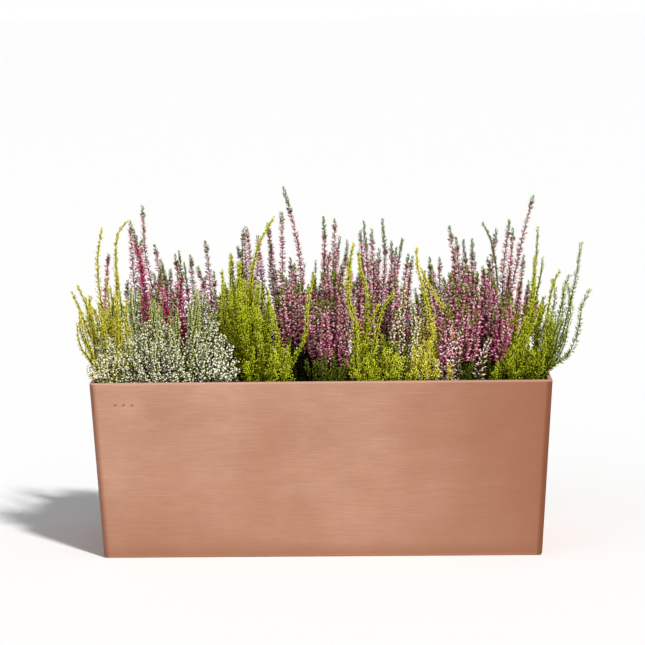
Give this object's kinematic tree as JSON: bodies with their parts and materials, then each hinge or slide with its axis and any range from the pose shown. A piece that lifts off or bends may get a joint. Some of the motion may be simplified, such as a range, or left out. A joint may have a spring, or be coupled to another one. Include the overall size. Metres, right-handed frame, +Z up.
{
  "type": "self watering planter",
  "caption": "Tapered terracotta-look trough planter with a lift-out self watering liner, water gauge, wall hangers and heather plants.",
  "frame": {"origin": "centre of the shell's flat underside", "axes": "+X to the right along the trough, +Y to the back where the wall hangers are, +Z up"},
  "size_m": [0.552, 0.394, 0.404],
  "materials": {
    "shell": "matte",
    "liner": "matte",
    "wick_plastic": "matte",
    "soil": "matte",
    "filler": "satin",
    "clear": "gloss",
    "float_red": "gloss",
    "rod_white": "satin",
    "hanger_steel": "satin",
    "zinc_steel": "satin",
    "brass_insert": "satin",
    "rubber": "matte",
    "heather_white": "matte",
    "heather_lime": "matte",
    "heather_yellow": "matte",
    "heather_pink": "matte",
    "heather_purple": "matte",
    "heather_sage": "matte"
  },
  "bodies": {
    "shell": {"outer_shell": "shell", "overflow_fitting": "filler", "threaded_inserts": "brass_insert", "hanger_bolts": "zinc_steel", "hanger_plate_left": "hanger_steel", "hanger_plate_right": "hanger_steel", "arm_pads_left": "rubber", "arm_pads_right": "rubber", "wall_bumper_left": "rubber", "wall_bumper_right": "rubber", "bumper_screws": "zinc_steel"},
    "drain_plug": {"drain_plug": "rubber", "drain_plug_seal": "rubber"},
    "liner": {"planting_liner": "liner", "wick_basket_left": "wick_plastic", "wick_basket_right": "wick_plastic", "potting_soil": "soil", "filler_tube": "filler", "filler_cap_pin": "zinc_steel", "gauge_tube": "filler", "gauge_window": "clear", "heather_lime_centre": "heather_lime", "heather_lime_left": "heather_lime", "heather_lime_right": "heather_lime", "heather_pink_back_centre": "heather_pink", "heather_pink_back_left": "heather_pink", "heather_pink_back_right": "heather_pink", "heather_pink_centre": "heather_pink", "heather_pink_right": "heather_pink", "heather_purple_left": "heather_purple", "heather_sage_right": "heather_sage", "heather_white_left": "heather_white", "heather_yellow_left": "heather_yellow", "heather_yellow_right": "heather_yellow"},
    "filler_cap": {"filler_cap": "filler"},
    "gauge_float": {"gauge_float": "float_red", "indicator_rod": "rod_white", "indicator_tip": "float_red"},
    "handle_left": {"liner_handle_left": "wick_plastic"},
    "handle_right": {"liner_handle_right": "wick_plastic"},
    "hook_left": {"hanger_hook_left": "hanger_steel", "hook_pad_left": "rubber", "clamp_bolt_left": "zinc_steel", "clamp_washer_left": "zinc_steel"},
    "wing_nut_left": {"wing_nut_left": "zinc_steel"},
    "hook_right": {"hanger_hook_right": "hanger_steel", "hook_pad_right": "rubber", "clamp_bolt_right": "zinc_steel", "clamp_washer_right": "zinc_steel"},
    "wing_nut_right": {"wing_nut_right": "zinc_steel"}
  },
  "joints": [
    {"name": "liner_lift", "type": "slide", "parent": "shell", "child": "liner", "axis": [0, 0, 1], "range_m": [0, 0.2]},
    {"name": "filler_cap_hinge", "type": "hinge", "parent": "liner", "child": "filler_cap", "pos_m": [-0.04, 0.0805, 0.1875], "axis": [-1, 0, 0], "range_deg": [0, 110]},
    {"name": "float_rise", "type": "slide", "parent": "liner", "child": "gauge_float", "axis": [0, 0, 1], "range_m": [0, 0.032]},
    {"name": "handle_left_pull", "type": "slide", "parent": "liner", "child": "handle_left", "axis": [0, 0, 1], "range_m": [0, 0.045]},
    {"name": "handle_right_pull", "type": "slide", "parent": "liner", "child": "handle_right", "axis": [0, 0, 1], "range_m": [0, 0.045]},
    {"name": "drain_plug_pull", "type": "slide", "parent": "shell", "child": "drain_plug", "axis": [0, 0, -1], "range_m": [0, 0.02]},
    {"name": "hook_left_slide", "type": "slide", "parent": "shell", "child": "hook_left", "axis": [0, 1, 0], "range_m": [-0.026, 0.05]},
    {"name": "wing_nut_left_spin", "type": "hinge", "parent": "hook_left", "child": "wing_nut_left", "pos_m": [-0.15, 0.18, 0.1396], "axis": [0, 0, 1], "continuous": true},
    {"name": "hook_right_slide", "type": "slide", "parent": "shell", "child": "hook_right", "axis": [0, 1, 0], "range_m": [-0.026, 0.05]},
    {"name": "wing_nut_right_spin", "type": "hinge", "parent": "hook_right", "child": "wing_nut_right", "pos_m": [0.15, 0.18, 0.1396], "axis": [0, 0, 1], "continuous": true}
  ]
}
